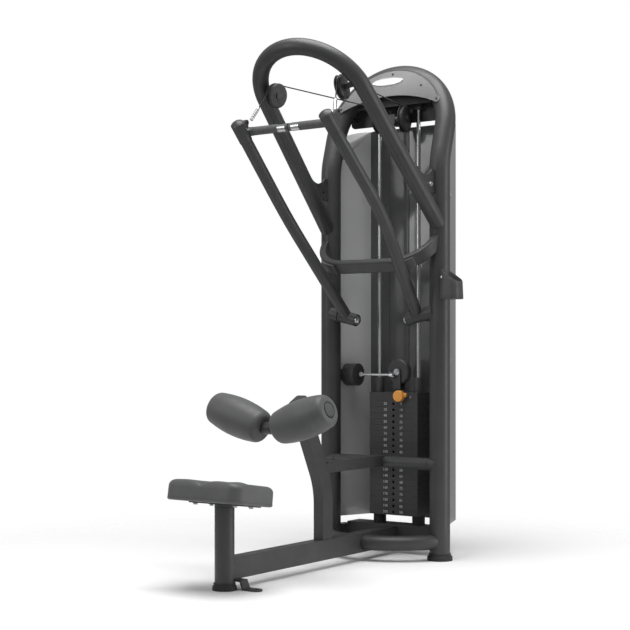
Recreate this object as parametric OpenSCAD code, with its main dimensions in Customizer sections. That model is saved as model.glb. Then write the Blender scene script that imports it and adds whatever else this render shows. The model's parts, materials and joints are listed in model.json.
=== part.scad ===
// Lat pulldown machine: a seat, thigh rollers, a weight stack in a tube frame, and two arms that swing
// down and apart. Millimetres. +X is to the user's right, +Y runs from the seat to the weight stack.
// The origin is the centre of the seat foot, on the floor.

/* [Layout] */
// Distance from the seat post to the uprights
tower_y = 1062; // [1055:1:1075]
// Half the distance between the uprights
upright_x = 268; // [266:1:270]

/* [Frame tube] */
// Outer diameter of the uprights and the arch
upright_d = 84; // [82:1:86]
// Outer diameter of the overhead loop
loop_d = 65; // [62:1:68]
// Wall of the frame tube
wall = 3; // [2:0.5:4]
// Height of the bend in the uprights
kink_z = 1630; // [1620:1:1640]
// Lean of the upper frame from vertical, in degrees
lean = 16.7; // [16.2:0.1:17.2]
// Rise of the overhead loop above horizontal, in degrees
loop_rise = 44.2; // [43.7:0.1:44.7]

/* [Seat and thigh rollers] */
// Width of the seat pad
seat_w = 336; // [300:2:340]
// Depth of the seat pad
seat_l = 242; // [230:1:250]
// Thickness of the seat pad
seat_t = 75; // [65:1:80]
// Tilt of the seat pad down towards the tower, in degrees
seat_tilt = 8; // [6:0.5:9]
// Largest diameter of a thigh roller
roller_d = 148; // [140:1:152]
// Slope of each roller up from the middle, in degrees
roller_rise = 18; // [16:0.5:20]

/* [Weight stack] */
// Number of weight plates under the head plate
plate_count = 19; // [10:1:19]
// Height of one weight plate
plate_pitch = 25.4; // [25:0.1:25.4]
// Width of a weight plate
plate_w = 237; // [230:1:240]
// Diameter of the guide rods
guide_d = 18; // [16:1:19]

/* [Arms] */
// Outer diameter of the arm tube
arm_d = 48; // [46:1:50]
// Tilt of the arm pivots down towards the middle, in degrees
pivot_tilt = 13.5; // [13:0.1:14]
// Diameter of a pivot shaft
pivot_shaft_d = 25; // [22:1:26]
// Outer diameter of a pivot housing
pivot_hub_d = 52; // [50:1:54]
// Outer diameter of the grips
grip_d = 33; // [30:1:34]

/* [Cable] */
// Diameter of the cable
cable_d = 5; // [4:0.5:5.5]
// Radius of the cable on the loop pulleys
loop_pulley_r = 42; // [41:0.5:43]
// Radius of the cable on the tower pulleys
tower_pulley_r = 50; // [49:0.5:51]
// Radius of the cable on the moving pulley
lift_pulley_r = 48.5; // [48:0.5:49]

/* [Hidden] */
$fn = 72;
ROUND = 48;
SWEEP = 180;

frame_grey = "#3f4042";
dark_grey = "#2b2c2d";
pad_grey = "#5a5b5c";
panel_grey = "#7d7d7f";
chrome = "#c9cacc";
orange = "#db9a45";
running_gap = 0.05;
part_gap = 0.4;

// Uprights, arch and feet
foot_h = 28;
foot_d = 103;
kink_r = 250;
arch_s = 137;
// Overhead loop: where its legs leave the uprights, and the bow that joins them
loop_foot = [271, -10, 1359];
loop_lean = 3.2;
bow_r = 232.2;
bow_s = 688;
bow_tangent = [bow_r * cos(loop_lean), bow_s + bow_r * sin(loop_lean)];
// Base
beam_w = 50;
beam_bottom = 36;
beam_top = 114;
channel_front = 62;
base_bow_r = 284;
base_bow_y = 94;
base_bow_z = 75;
base_bow_d = 60;
// Stop bar: a bent flat tube in a plane that slopes up towards the uprights
stop_front = [0, -130, 1199];
stop_slope = 43.2;
stop_bend = 150;
stop_straight = upright_x - stop_bend;
stop_tall = 60;
stop_thick = 30;
stop_pad_face = 21.5;
// Thigh post and roller axle
post_y = -446;
post_w = 45;
post_l = 66;
post_bend_z = 250;
post_bend_r = 300;
post_lean = 26.6;
post_rise = 310;
axle_y = -790;
axle_z = 551;
axle_r = 12.5;
roller_start = 34;
roller_end = 280;
boss_z = 563;
// Seat
seat_post_d = 71;
seat_foot_h = 26;
seat_plate_t = 4;
seat_plate_y = 29;
seat_bottom = 309.5;
seat_mid_y = -28;
seat_corner = 50;
// Weight stack
stack_y = 120;
guide_x = 96;
guide_top = 1880;
stack_bottom = 158.4;
plate_l = 98;
head_bottom = stack_bottom + plate_count * plate_pitch;
head_h = 35;
head_top = head_bottom + head_h;
sleeve_h = 64;
stem_r = 12;
lift_z = head_top + 86;
pin_x = 39;
pin_r = 5;
pin_z = head_bottom + 21;
// Add-on weights and the rod that picks them up
addon_z = lift_z - 12;
addon_y = 88;
addon_x = -185;
addon_t = 18.6;
addon_pitch = 19.6;
addon_r = 48;
addon_rod_r = 5;
// Arms, from the hand end to the pivot
arm_tip = [205, -730, 1720];
arm_knee = [225, -380, 1390];
pivot = [173, -15.5, 992];
arm_bend_r = 1500;
pivot_axis = [cos(pivot_tilt), 0, sin(pivot_tilt)];
hub_in = -50;
hub_out = 38;
sleeve_l = 81;
ear_x = 199;
ear_t = 14;
grip_at = [ear_x, -669, 1698];
lug_at = [ear_x, -660, 1734];
// Pulleys
loop_pulley = [155, -545, 1852];
loop_pulley_axis = unit([0.967, 0.169, 0.188]);
loop_pulley_t = 28;
tower_yaw = 9.3;
strand_x = lift_pulley_r;
tower_pulley_z = 1826;
tower_pulley = [
    strand_x + tower_pulley_r * sin(tower_yaw),
    stack_y - tower_pulley_r * cos(tower_yaw),
    tower_pulley_z];
tower_pulley_axis = [cos(tower_yaw), sin(tower_yaw), 0];
tower_pulley_t = 25;
flange = 6;
groove_gap = 0.2;
pulley_bolt_r = 8;
// Covers
header_front = 42;
header_t = 3;
shroud_back = 230;
shroud_half = 213;
shroud_front = 50;
shroud_fold = 20.4;
shroud_bottom = 138;
shroud_top = 1816;
shroud_t = 2.5;
shroud_bolt_y = 76;
shroud_bolts_z = [1488, 810];
cross_y = 132;
cross_t = 6;
cup = [357, -60];
cup_w = 85;
cup_bottom = 1058;
cup_top = 1179;
cup_wall = 3;

function unit(v) = v / norm(v);
function mirrored(p, side) = [p.x * side, p.y, p.z];
function square_to(dir) = abs(dir.z) < 0.9 ? unit(cross([0, 0, 1], dir)) : unit(cross([0, 1, 0], dir));
function basis(u, v, w, p) = [
    [u.x, v.x, w.x, p.x], [u.y, v.y, w.y, p.y], [u.z, v.z, w.z, p.z], [0, 0, 0, 1]];
// A point of the leaning upper frame, s along the slope from the bend
function lean_point(x, s) = [x, s * sin(lean), kink_z + s * cos(lean)];
// A point of the loop's plane, s along its slope from the uprights
function loop_point(x, s) = [
    x, loop_foot.y - s * cos(loop_rise), loop_foot.z + s * sin(loop_rise)];
// The turn of a path at its corner i, and how far before the corner its bend starts
function turn(p, i) = acos(unit(p[i] - p[i - 1]) * unit(p[i + 1] - p[i]));
function setback(p, i, radius) = radius * tan(turn(p, i) / 2);
// The direction away from the inside of the bend at corner i, at the bend's start
function out_before(p, i) = let (a = unit(p[i] - p[i - 1]), b = unit(p[i + 1] - p[i])) unit(a * (a * b) - b);
// Where a line from point p touches the circle of radius r about c, square to axis n
function touch(c, n, r, p, turn_side) =
    let (v = p - c, flat = v - n * (v * n), e = unit(flat), f = cross(n, e), a = acos(r / norm(flat)))
    c + (e * cos(a) + f * sin(a) * turn_side) * r;

module at_tower() {
    translate([0, tower_y, 0]) children();
}

module ring(r, bore = 0) {
    difference() {
        circle(r, $fn = ROUND);
        if (bore > 0) circle(bore, $fn = ROUND);
    }
}

// Extrudes a section from a to b, with its +X along out
module straight(a, b, out) {
    dir = unit(b - a);
    multmatrix(basis(out, cross(dir, out), dir, a)) linear_extrude(norm(b - a)) children();
}

// Sweeps a section round an arc about c, from direction u towards w; its +X points outward
module arc(c, u, w, radius, angle) {
    multmatrix(basis(u, w, cross(u, w), c))
        rotate_extrude(angle = angle, $fn = SWEEP) translate([radius, 0]) children();
}

// Round bar or tube from a to b
module rod(a, b, r, bore = 0) {
    straight(a, b, square_to(unit(b - a))) ring(r, bore);
}

// Round tube from p[0] by the corner p[1] to p[2], bent there at one radius. It is built about the
// centre of its bend, and then placed, so that its legs meet the bend exactly.
module bent_tube(p, radius, r, bore = 0) {
    out = out_before(p, 1);
    dir = unit(p[1] - p[0]);
    angle = turn(p, 1);
    reach = setback(p, 1, radius);
    first = norm(p[1] - p[0]) - reach;
    last = norm(p[2] - p[1]) - reach;
    multmatrix(basis(out, dir, cross(out, dir), p[1] - dir * reach - out * radius)) {
        translate([radius, 0, 0]) rotate([90, 0, 0]) linear_extrude(first) ring(r, bore);
        rotate_extrude(angle = angle, $fn = SWEEP) translate([radius, 0]) ring(r, bore);
        rotate(angle) translate([radius, 0, 0]) rotate([-90, 0, 0]) linear_extrude(last) ring(r, bore);
    }
}

// Flat plate of thickness t from x, drawn in the plane of Y and Z
module side_plate(x, t) {
    translate([x, 0, 0]) rotate([90, 0, 90]) linear_extrude(t) children();
}

module rounded(size, r) {
    w = size.x / 2 - r;
    l = size.y / 2 - r;
    square([size.x, size.y - 2 * r], center = true);
    square([size.x - 2 * r, size.y], center = true);
    for (x = [-w, w], y = [-l, l]) translate([x, y]) circle(r, $fn = ROUND);
}

// Hexagon or button head of a bolt, standing on p along dir
module bolt_head(p, dir, r, h) {
    rod(p, p + dir * h * 0.3, r * 1.25);
    straight(p + dir * h * 0.3, p + dir * h, square_to(dir)) circle(r, $fn = 6);
}

module upright_outline(side, gap = 0) {
    x = side * upright_x;
    bent_tube([[x, 0, 0], [x, 0, kink_z], lean_point(x, arch_s)], kink_r, upright_d / 2 + gap);
}

// The vertical part of an upright, to trim what is welded to it
module upright_leg(side) {
    translate([side * upright_x, 0, 0]) cylinder(h = kink_z - 40, d = upright_d);
}

module arch_outline(gap = 0) {
    arc(lean_point(0, arch_s), [1, 0, 0], [0, sin(lean), cos(lean)], upright_x, 180)
        circle(upright_d / 2 + gap, $fn = ROUND);
}

module seat_post_outline() {
    translate([0, 0, -1]) cylinder(h = 340, d = seat_post_d);
}

module base_beam() {
    length = tower_y + channel_front;
    color(frame_grey) difference() {
        translate([-beam_w / 2, 0, beam_bottom]) cube([beam_w, length, beam_top - beam_bottom]);
        translate([wall - beam_w / 2, -1, beam_bottom + wall])
            cube([beam_w - 2 * wall, length + 2, beam_top - beam_bottom - 2 * wall]);
        seat_post_outline();
    }
}

module base_bow() {
    from_x = acos(upright_x / base_bow_r);
    color(frame_grey) at_tower() difference() {
        translate([0, base_bow_y, base_bow_z]) rotate(180 + from_x)
            rotate_extrude(angle = 180 - 2 * from_x, $fn = SWEEP)
                translate([base_bow_r, 0]) ring(base_bow_d / 2, base_bow_d / 2 - wall);
        translate([-beam_w / 2, -300, 0]) cube([beam_w, 300, 200]);
        for (side = [-1, 1]) upright_leg(side);
    }
}

module stack_base() {
    half = 226;
    bottom = 50;
    top = 120;
    depth = 96;
    color(frame_grey) at_tower() {
        difference() {
            translate([-half, channel_front, bottom]) cube([2 * half, depth, top - bottom]);
            translate([wall - half, channel_front + wall, bottom + wall])
                cube([2 * (half - wall), depth - 2 * wall, top - bottom - 2 * wall]);
        }
        for (side = [-1, 1]) difference() {
            translate([side > 0 ? half : -half - 36, 25, bottom + 10]) cube([36, 65, 50]);
            upright_leg(side);
        }
    }
}

module pivot_boss(side) {
    p = mirrored(pivot, side);
    a = mirrored(pivot_axis, side);
    difference() {
        rod(p + a * (hub_out + 0.6), p + a * 82, 30);
        upright_leg(side);
    }
}

module uprights() {
    color(frame_grey) at_tower() for (side = [-1, 1]) {
        x = side * upright_x;
        bent_tube([[x, 0, foot_h], [x, 0, kink_z], lean_point(x, arch_s)],
            kink_r, upright_d / 2, upright_d / 2 - wall);
        pivot_boss(side);
    }
}

module top_arch() {
    color(frame_grey) at_tower() difference() {
        arch_outline();
        arch_outline(-wall);
    }
}

module loop_leg_outline(side, gap = 0) {
    rod(loop_point(side * loop_foot.x, 0), loop_point(side * bow_tangent.x, bow_tangent.y),
        loop_d / 2 + gap);
}

module loop_legs() {
    color(frame_grey) at_tower() for (side = [-1, 1]) difference() {
        rod(loop_point(side * loop_foot.x, 0), loop_point(side * bow_tangent.x, bow_tangent.y),
            loop_d / 2, loop_d / 2 - wall);
        upright_leg(side);
    }
}

module loop_bow_outline(r, bore = 0) {
    up = [0, -cos(loop_rise), sin(loop_rise)];
    start = [cos(loop_lean), up.y * sin(loop_lean), up.z * sin(loop_lean)];
    on = [-sin(loop_lean), up.y * cos(loop_lean), up.z * cos(loop_lean)];
    arc(loop_point(0, bow_s), start, on, bow_r, 180 - 2 * loop_lean) ring(r, bore);
}

module loop_bow() {
    color(frame_grey) at_tower() loop_bow_outline(loop_d / 2, loop_d / 2 - wall);
}

module gusset_plates() {
    bottom = 1490;
    top = 1584;
    color(frame_grey) at_tower() for (side = [-1, 1]) difference() {
        side_plate(side > 0 ? 258 : -266, 8) difference() {
            polygon([[-30, bottom], [-118, bottom], [-214, top], [-30, top]]);
            translate([-112, top + 40]) circle(66);
            translate([-70, bottom + 34]) circle(5);
        }
        upright_leg(side);
        loop_leg_outline(side);
    }
}

// Places the stop bar's plane: X across, Y up the slope towards the uprights
module stop_plane() {
    at_tower() translate(stop_front) rotate([stop_slope, 0, 0]) children();
}

module stop_section(gap = 0) {
    rounded([stop_thick - 2 * gap, stop_tall - 2 * gap], gap > 0 ? 7 : 10);
}

module stop_sweep(gap = 0) {
    rotate([90, 0, 90]) translate([0, 0, -stop_straight]) linear_extrude(2 * stop_straight)
        stop_section(gap);
    for (side = [0, 1]) mirror([side, 0, 0]) translate([stop_straight, stop_bend, 0]) rotate(-90)
        rotate_extrude(angle = 90, $fn = SWEEP) translate([stop_bend, 0]) stop_section(gap);
}

module stop_bar() {
    color(frame_grey) difference() {
        stop_plane() difference() {
            stop_sweep();
            stop_sweep(wall);
        }
        at_tower() for (side = [-1, 1]) upright_leg(side);
    }
}

module stop_pads() {
    length = 95;
    color(pad_grey) stop_plane() for (side = [0, 1]) mirror([side, 0, 0]) difference() {
        translate([stop_straight + 32, -stop_pad_face, -24]) cube([length, 80, 48]);
        translate([stop_straight, stop_bend, -30]) cylinder(h = 60, r = stop_bend + stop_thick / 2);
    }
}

module crossbar_outline(r, bore = 0) {
    rod([-upright_x, -20, 390], [upright_x, -20, 390], r, bore);
}

module stack_crossbar() {
    color(frame_grey) at_tower() difference() {
        crossbar_outline(25, 25 - wall);
        for (side = [-1, 1]) upright_leg(side);
    }
}

// The thigh post's section swept up its bend; gap shrinks it to the hollow
module post_outline(gap = 0) {
    w = post_w - 2 * gap;
    l = post_l - 2 * gap;
    translate([-w / 2, post_y - l / 2, beam_top]) cube([w, l, post_bend_z - beam_top]);
    translate([0, post_y - post_bend_r, post_bend_z]) rotate([90, 0, 90])
        rotate_extrude(angle = post_lean, $fn = SWEEP) translate([post_bend_r, 0])
            square([l, w], center = true);
    translate([0, post_y - post_bend_r, post_bend_z]) rotate([post_lean, 0, 0])
        translate([-w / 2, post_bend_r - l / 2, 0]) cube([w, l, post_rise]);
}

module thigh_post() {
    color(frame_grey) at_tower() {
        difference() {
            post_outline();
            post_outline(wall);
        }
        translate([0, post_y - post_bend_r, post_bend_z]) rotate([post_lean, 0, 0])
            translate([0, post_bend_r, post_rise]) linear_extrude(4) rounded([post_w, post_l], 8);
    }
}

module post_brace() {
    color(frame_grey) at_tower() difference() {
        translate([-20, post_y, 373]) cube([40, -20 - post_y, 44]);
        translate([-17, post_y - 1, 376]) cube([34, -18 - post_y, 38]);
        post_outline();
        crossbar_outline(25);
    }
}

// Everything on a roller's axis: +Z runs out along it
module on_roller_axis(side) {
    at_tower() translate([0, axle_y, axle_z]) rotate([0, side * (90 - roller_rise), 0]) children();
}

module roller_axle() {
    arm_w = 40;
    reach = 240;
    color(frame_grey) {
        difference() {
            at_tower() {
                rod([-33, axle_y, boss_z], [33, axle_y, boss_z], 23.5);
                translate([-arm_w / 2, axle_y, boss_z - 20]) cube([arm_w, reach, 40]);
            }
            at_tower() post_outline();
            for (side = [-1, 1]) on_roller_axis(side) translate([0, 0, roller_start - 1])
                cylinder(h = 60, r = roller_d / 2);
        }
        for (side = [-1, 1]) on_roller_axis(side) translate([0, 0, 10])
            cylinder(h = roller_end - 29, r = axle_r);
    }
}

// Half section of a thigh roller: a barrel with rounded ends and a bore
module roller_section() {
    length = roller_end - roller_start;
    r = roller_d / 2;
    end_r = r - 14;
    barrel = (pow(length / 2 - 26, 2) + pow(r - end_r, 2)) / (2 * (r - end_r));
    difference() {
        union() {
            intersection() {
                translate([r - barrel, length / 2]) circle(barrel, $fn = 360);
                translate([0, 24]) square([r + 1, length - 48]);
            }
            translate([0, 24]) square([end_r - 24, length - 48]);
            for (y = [24, length - 24]) translate([end_r - 22, y]) circle(24);
            square([end_r - 22, length]);
        }
        translate([-200, -1]) square([200 + axle_r + 0.3, length - 16]);
        translate([-200, length - 17]) square([200, 30]);
    }
}

module roller(side) {
    color(pad_grey) on_roller_axis(side) translate([0, 0, roller_start])
        rotate_extrude() roller_section();
}

module left_roller() {
    roller(-1);
}

module right_roller() {
    roller(1);
}

// Places the seat pad: its underside's middle is the origin, tilted down towards the tower
module seat_plane() {
    translate([0, seat_mid_y, seat_bottom]) rotate([-seat_tilt, 0, 0]) children();
}

module seat_post() {
    color(frame_grey) difference() {
        translate([0, 0, seat_foot_h]) cylinder(h = seat_bottom, d = seat_post_d);
        cylinder(h = 2 * seat_bottom, d = seat_post_d - 2 * wall);
        seat_plane() translate([-100, -100, -seat_plate_t]) cube(200);
    }
}

module seat_plate() {
    color(frame_grey) seat_plane() translate([0, seat_plate_y, -seat_plate_t])
        linear_extrude(seat_plate_t) rounded([246, 120], 12);
}

module seat_pad() {
    color(pad_grey) seat_plane() linear_extrude(seat_t) rounded([seat_w, seat_l], seat_corner);
}

// Low round foot with a rounded top edge
module foot(d, h, edge) {
    rotate_extrude() {
        square([d / 2 - edge, h]);
        square([d / 2, h - edge]);
        translate([d / 2 - edge, h - edge]) circle(edge, $fn = ROUND);
    }
}

module rubber_feet() {
    color(dark_grey) {
        foot(88, 18, 7);
        cylinder(h = seat_foot_h, d = 79);
        at_tower() for (side = [-1, 1]) translate([side * upright_x, 0, 0]) {
            foot(foot_d, 20, 8);
            cylinder(h = foot_h, d = foot_d - 12);
        }
    }
}

module anchor_tab() {
    color(frame_grey) difference() {
        translate([0, 22, 0]) {
            difference() {
                union() {
                    translate([66, 0, 0]) cube([46, 40, 7]);
                    translate([112, 20, 0]) cylinder(h = 7, r = 20);
                }
                translate([112, 20, -1]) cylinder(h = 9, r = 6.5);
            }
            translate([0, 40, 0]) rotate([90, 0, 0]) linear_extrude(40)
                polygon([[0, 29], [50, 29], [62, 0], [70, 0], [70, 7], [67, 7], [55, 36], [0, 36]]);
        }
        translate([0, 0, -1]) cylinder(h = 60, d = seat_post_d + 2 * running_gap);
    }
}

module guide_rods() {
    color(chrome) at_tower() for (side = [-1, 1]) translate([side * guide_x, stack_y, 120])
        cylinder(h = guide_top - 120, d = guide_d);
}

module stack_bumpers() {
    color(dark_grey) at_tower() for (side = [-1, 1]) translate([side * guide_x, stack_y, 120])
        difference() {
            cylinder(h = 38, d = 54);
            translate([0, 0, -1]) cylinder(h = 40, d = guide_d);
        }
}

module plate_blank(h) {
    difference() {
        translate([-plate_w / 2, stack_y - 46, 0]) cube([plate_w, plate_l, h]);
        for (side = [-1, 1]) translate([side * guide_x, stack_y, -1])
            cylinder(h = h + 2, d = guide_d + 3);
    }
}

module weight_plates() {
    color(dark_grey) at_tower() for (i = [0 : plate_count - 1])
        translate([0, 0, stack_bottom + i * plate_pitch]) difference() {
            plate_blank(plate_pitch - part_gap);
            translate([0, stack_y, -1]) cylinder(h = plate_pitch + 2, r = stem_r + 2);
            translate([0, stack_y - 47, plate_pitch / 2]) rotate([-90, 0, 0]) cylinder(h = 47, r = 6);
        }
}

module head_plate() {
    color(dark_grey) at_tower() {
        difference() {
            translate([0, 0, head_bottom]) plate_blank(head_h);
            translate([pin_x, stack_y - 47, pin_z]) rotate([-90, 0, 0])
                cylinder(h = 40, r = pin_r + running_gap);
        }
        translate([0, stack_y, stack_bottom + 12])
            cylinder(h = head_bottom - stack_bottom - 12, r = stem_r);
    }
}

module guide_sleeves() {
    color(dark_grey) at_tower() for (side = [-1, 1]) translate([side * guide_x, stack_y, head_top])
        difference() {
            cylinder(h = sleeve_h, r = 19.5);
            translate([0, 0, -1]) cylinder(h = sleeve_h + 2, d = guide_d + 2 * running_gap);
        }
}

module lift_bracket() {
    cheek = 18;
    color(dark_grey) at_tower() translate([0, stack_y, 0]) {
        translate([0, 0, head_top]) cylinder(h = 12, r = 15);
        translate([-cheek, -20, head_top + 12]) cube([2 * cheek, 40, 12]);
        for (y = [-20, 16]) difference() {
            union() {
                translate([-cheek, y, head_top + 12]) cube([2 * cheek, 4, lift_z - head_top - 12]);
                translate([0, y, lift_z]) rotate([-90, 0, 0]) cylinder(h = 4, r = cheek);
            }
            translate([0, y - 1, lift_z]) rotate([-90, 0, 0]) cylinder(h = 6, r = pulley_bolt_r);
        }
    }
}

module lift_axle() {
    color(chrome) at_tower() {
        rod([0, stack_y - 20, lift_z], [0, stack_y + 20, lift_z], pulley_bolt_r);
        bolt_head([0, stack_y - 20, lift_z], [0, -1, 0], 11, 9);
        bolt_head([0, stack_y + 20, lift_z], [0, 1, 0], 11, 9);
    }
}

module pickup_rod() {
    left = addon_x + 11;
    color(chrome) at_tower() {
        rod([left, addon_y, addon_z], [-12, addon_y, addon_z], addon_rod_r);
        rod([left, addon_y, addon_z], [left + 9, addon_y, addon_z], 16);
        rod([left + 9, addon_y, addon_z], [left + 16, addon_y, addon_z], 10);
        rod([-26, addon_y, addon_z], [-10, addon_y, addon_z], 10);
        difference() {
            translate([-14, addon_y - 8, addon_z - 9]) cube([12, 20, 18]);
            translate([0, stack_y, lift_z]) rotate([90, 0, 0]) cylinder(h = 60, r = 16.5);
        }
    }
}

// Grooved pulley about Z: r is the radius of the cable's centre line
module pulley(r, thick) {
    side = thick / 2;
    floor_r = r - cable_d / 2 - groove_gap;
    half_groove = cable_d / 2 + 0.8;
    difference() {
        rotate_extrude($fn = 96) difference() {
            polygon([
                [0, -side], [r + flange - 5, -side], [r + flange, 4 - side],
                [r + flange, side - 4], [r + flange - 5, side], [0, side]]);
            polygon([
                [floor_r, -half_groove], [r + flange + 1, -half_groove - 4],
                [r + flange + 1, half_groove + 4], [floor_r, half_groove]]);
        }
        translate([0, 0, -side - 1]) cylinder(h = thick + 2, r = pulley_bolt_r + running_gap);
    }
}

module on_axis(p, axis) {
    at_tower() multmatrix(basis(square_to(axis), cross(axis, square_to(axis)), axis, p)) children();
}

module lift_pulley() {
    color(dark_grey) on_axis([0, stack_y, lift_z], [0, -1, 0]) pulley(lift_pulley_r, 28);
}

module left_loop_pulley() {
    color(dark_grey) on_axis(mirrored(loop_pulley, -1), mirrored(loop_pulley_axis, -1))
        pulley(loop_pulley_r, loop_pulley_t);
}

module right_loop_pulley() {
    color(dark_grey) on_axis(loop_pulley, loop_pulley_axis) pulley(loop_pulley_r, loop_pulley_t);
}

module left_tower_pulley() {
    color(dark_grey) on_axis(mirrored(tower_pulley, -1), mirrored(tower_pulley_axis, -1))
        pulley(tower_pulley_r, tower_pulley_t);
}

module right_tower_pulley() {
    color(dark_grey) on_axis(tower_pulley, tower_pulley_axis) pulley(tower_pulley_r, tower_pulley_t);
}

module loop_pulley_arms() {
    color(frame_grey) at_tower() for (side = [-1, 1]) {
        p = mirrored(loop_pulley, side);
        a = mirrored(loop_pulley_axis, side);
        near = loop_pulley_t / 2 + part_gap;
        difference() {
            union() {
                rod(p - a * near, p + a * near, pulley_bolt_r);
                rod(p + a * near, p + a * 75, 12);
                rod(p - a * near, p - a * (near + 4), 13);
            }
            loop_bow_outline(loop_d / 2);
        }
    }
}

module tower_pulley_bracket() {
    near = tower_pulley_t / 2 + part_gap;
    color(frame_grey) at_tower() {
        translate([-20, 52, tower_pulley_z - 20]) cube([40, cross_y - 52, 40]);
        for (side = [-1, 1]) {
            p = mirrored(tower_pulley, side);
            a = mirrored(tower_pulley_axis, side);
            rod(p - a * 40, p - a * near, 12);
            rod(p - a * near, p + a * near, pulley_bolt_r);
            rod(p + a * near, p + a * (near + 4), 13);
        }
    }
}

module pivot_shafts() {
    color(chrome) at_tower() for (side = [-1, 1]) {
        p = mirrored(pivot, side);
        a = mirrored(pivot_axis, side);
        rod(p + a * (hub_in - 0.6), p + a * (hub_out + 0.6), pivot_shaft_d / 2);
        rod(p + a * (hub_in - 4), p + a * (hub_in - 0.6), 22);
        bolt_head(p + a * (hub_in - 4), -a, 11, 9);
    }
}

function arm_path(side) = [mirrored(arm_tip, side), mirrored(arm_knee, side), mirrored(pivot, side)];

module hub_outline(side, r) {
    p = mirrored(pivot, side);
    a = mirrored(pivot_axis, side);
    rod(p + a * hub_in, p + a * hub_out, r);
}

module arm(side) {
    color(frame_grey) at_tower() {
        difference() {
            bent_tube(arm_path(side), arm_bend_r, arm_d / 2, arm_d / 2 - wall);
            hub_outline(side, pivot_hub_d / 2);
        }
        difference() {
            hub_outline(side, pivot_hub_d / 2);
            hub_outline(side, pivot_shaft_d / 2 + running_gap);
        }
    }
}

module left_arm() {
    arm(-1);
}

module right_arm() {
    arm(1);
}

// Places a hand end: Z runs down the arm from its tip, Y stands out towards the ear
module at_hand(side) {
    tip = mirrored(arm_tip, side);
    dir = unit(mirrored(arm_knee, side) - tip);
    ear = unit(cross([1, 0, 0], dir));
    at_tower() multmatrix(basis(cross(ear, dir), ear, dir, tip)) children();
}

module arm_sleeve(side) {
    ear_dx = -side * 8;
    color(frame_grey) at_hand(side) {
        difference() {
            cylinder(h = sleeve_l, r = arm_d / 2 + 2);
            translate([0, 0, -1]) cylinder(h = sleeve_l + 2, d = arm_d);
        }
        rotate_extrude() intersection() {
            translate([0, 26]) circle(arm_d / 2 + 14);
            translate([0, -20]) square([arm_d / 2 + 2, 20]);
        }
        difference() {
            translate([ear_dx - ear_t / 2, 0, 0]) rotate([90, 0, 90]) linear_extrude(ear_t) difference() {
                union() {
                    polygon([[18, 22], [58, 27], [66, 40], [30, 78], [18, 78]]);
                    translate([57, 38]) circle(11);
                }
                translate([57, 38]) circle(5);
            }
            translate([0, 0, -1]) cylinder(h = sleeve_l + 2, r = arm_d / 2 + 2);
        }
    }
}

module left_arm_sleeve() {
    arm_sleeve(-1);
}

module right_arm_sleeve() {
    arm_sleeve(1);
}

function ear_face(side) = side * (ear_x - ear_t / 2 - 1);
function lug_point(side) = mirrored(lug_at, side);
function cable_start(side) = touch(
    mirrored(loop_pulley, side), mirrored(loop_pulley_axis, side), loop_pulley_r, lug_point(side), -side);
function fitting_end(side) = lug_point(side) + unit(cable_start(side) - lug_point(side)) * 66;

// Half section of the handle's metal: a ring at the arm, the core, and a sleeve near the middle
module handle_section(length) {
    square([10, length - 10]);
    square([grip_d / 2 + 1, 15]);
    translate([0, length - 46]) square([grip_d / 2 - 0.5, 36]);
}

module on_grip_axis(side) {
    at_tower() translate([ear_face(side), grip_at.y, grip_at.z]) rotate([0, -side * 90, 0]) children();
}

module handle(side) {
    length = ear_x - ear_t / 2 - 1 - 4;
    color(chrome) {
        difference() {
            on_grip_axis(side) rotate_extrude() handle_section(length);
            at_hand(side) cylinder(h = 2 * sleeve_l, r = arm_d / 2 + 2.4);
        }
        at_tower() {
            rod(lug_point(side) + unit(cable_start(side) - lug_point(side)) * 13, fitting_end(side), 6.5);
        }
    }
}

module left_handle() {
    handle(-1);
}

module right_handle() {
    handle(1);
}

module grip(side) {
    length = ear_x - ear_t / 2 - 1 - 4;
    color(dark_grey) on_grip_axis(side) {
        difference() {
            translate([0, 0, 15]) cylinder(h = length - 61, d = grip_d);
            cylinder(h = length - 40, r = 10);
        }
        translate([0, 0, length - 10]) cylinder(h = 10, d = grip_d - 2);
    }
}

module left_grip() {
    grip(-1);
}

module right_grip() {
    grip(1);
}

module arm_cable(side) {
    dir = unit(cable_start(side) - fitting_end(side));
    color(dark_grey) at_tower() rod(fitting_end(side) + dir * part_gap, cable_start(side), cable_d / 2);
}

module left_arm_cable() {
    arm_cable(-1);
}

module right_arm_cable() {
    arm_cable(1);
}

// The cable round a pulley about axis n, turning from a to b
module wrap(c, n, r, a, b) {
    u = unit(a - c);
    w = cross(n, u);
    v = unit(b - c);
    angle = atan2(v * w, v * u);
    arc(c, u, w, r, angle < 0 ? angle + 360 : angle) circle(cable_d / 2, $fn = 16);
}

// A straight run of cable, a hair short at each end of what it meets
module run(a, b) {
    dir = unit(b - a) * part_gap;
    rod(a + dir, b - dir, cable_d / 2);
}

function strand_top() = [strand_x, stack_y, tower_pulley_z];
function tower_top() = touch(
    tower_pulley, tower_pulley_axis, tower_pulley_r, loop_pulley + [0, 0, loop_pulley_r], -1);
function loop_top() = touch(loop_pulley, loop_pulley_axis, loop_pulley_r, tower_top(), 1);

module top_cables() {
    color(dark_grey) at_tower() for (side = [0, 1]) mirror([side, 0, 0]) {
        run(loop_top(), tower_top());
        wrap(loop_pulley, loop_pulley_axis, loop_pulley_r, loop_top(), cable_start(1));
        wrap(tower_pulley, tower_pulley_axis, tower_pulley_r, strand_top(), tower_top());
    }
}

module lift_cables() {
    color(dark_grey) at_tower() for (side = [-1, 1])
        run([side * strand_x, stack_y, lift_z], [side * strand_x, stack_y, tower_pulley_z]);
}

module lift_loop() {
    color(dark_grey) at_tower() wrap([0, stack_y, lift_z], [0, -1, 0], lift_pulley_r,
        [-strand_x, stack_y, lift_z], [strand_x, stack_y, lift_z]);
}

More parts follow.
